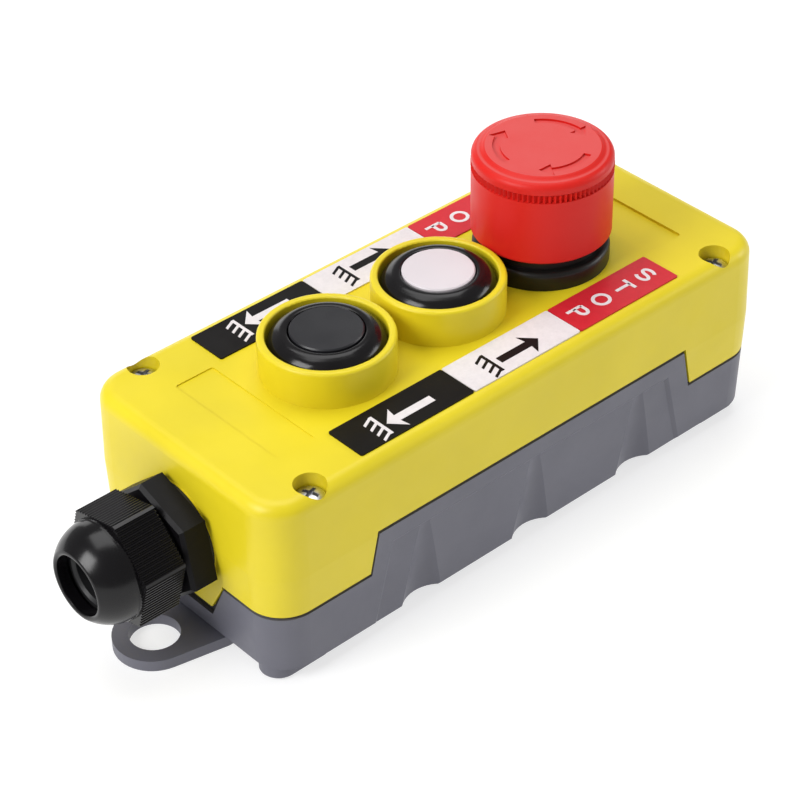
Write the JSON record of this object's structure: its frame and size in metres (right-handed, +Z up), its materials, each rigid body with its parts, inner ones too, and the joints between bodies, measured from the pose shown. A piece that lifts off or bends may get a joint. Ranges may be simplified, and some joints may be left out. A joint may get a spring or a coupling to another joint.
{
  "type": "pendant control station",
  "caption": "Hand-held pendant control station: two-part plastic housing with collared push buttons, a mushroom stop button that twists to release, a cable gland and a hanging eye.",
  "frame": {"origin": "centre of the overall box in plan, on the plane of the feet", "axes": "+X along the housing from the cable gland to the stop button, +Y across it, +Z up out of the front cover; the station lies on its feet with the buttons up"},
  "size_m": [0.192, 0.07, 0.0838],
  "materials": {
    "yellow_cover": "satin moulded ABS",
    "grey_shell": "fine moulded texture",
    "gasket_rubber": "matt",
    "plated_steel": "zinc plated",
    "brass": "machined",
    "legend_black": "satin film",
    "legend_white": "satin film",
    "legend_red": "satin film",
    "gland_nylon": "semi-gloss nylon",
    "seal_rubber": "matt",
    "black_plastic": "satin",
    "boot_rubber": "smooth, slight sheen",
    "button_black": "satin",
    "button_white": "satin",
    "red_head": "satin moulded",
    "spring_steel": "drawn wire",
    "block_plastic": "moulded",
    "block_red": "moulded"
  },
  "bodies": {
    "enclosure": {"front_cover": "yellow_cover", "rear_shell": "grey_shell", "cover_gasket": "gasket_rubber", "cover_screws": "plated_steel", "screw_inserts": "brass", "legend_lower": "legend_black", "legend_raise": "legend_white", "legend_stop": "legend_red", "gland_washer": "seal_rubber", "gland_body": "gland_nylon", "gland_locknut": "gland_nylon", "gland_dome_nut": "gland_nylon", "gland_seal": "seal_rubber", "button_bushings": "black_plastic", "panel_nuts": "black_plastic", "lower_boot": "boot_rubber", "raise_boot": "boot_rubber", "lower_spring": "spring_steel", "raise_spring": "spring_steel", "estop_base": "black_plastic", "estop_barrel": "black_plastic", "estop_spring": "spring_steel", "mounting_plate": "plated_steel", "plate_screws": "plated_steel", "button_blocks": "block_plastic", "stop_block": "block_red", "contact_strips": "brass", "terminal_screws": "plated_steel"},
    "lower_button": {"lower_plunger": "black_plastic", "lower_cap": "button_black", "lower_bridge": "brass"},
    "raise_button": {"raise_plunger": "black_plastic", "raise_cap": "button_white", "raise_bridge": "brass"},
    "estop_spindle": {"estop_spindle": "black_plastic", "estop_bridge": "brass"},
    "estop_head": {"estop_head": "red_head"}
  },
  "joints": [
    {"name": "lower_press", "type": "slide", "parent": "enclosure", "child": "lower_button", "axis": [0, 0, -1], "range_m": [0, 0.004], "stiffness_N_per_m": 600, "springref_m": -0.003, "deforming": ["lower_spring", "lower_boot"]},
    {"name": "raise_press", "type": "slide", "parent": "enclosure", "child": "raise_button", "axis": [0, 0, -1], "range_m": [0, 0.004], "stiffness_N_per_m": 600, "springref_m": -0.003, "deforming": ["raise_spring", "raise_boot"]},
    {"name": "estop_press", "type": "slide", "parent": "enclosure", "child": "estop_spindle", "axis": [0, 0, -1], "range_m": [0, 0.003], "deforming": ["estop_spring"]},
    {"name": "estop_twist", "type": "hinge", "parent": "estop_spindle", "child": "estop_head", "pos_m": [0.0502, 0, 0.071], "axis": [0, 0, 1], "range_deg": [-30, 0], "stiffness_Nm_per_rad": 0.02, "springref_deg": 5.73}
  ]
}
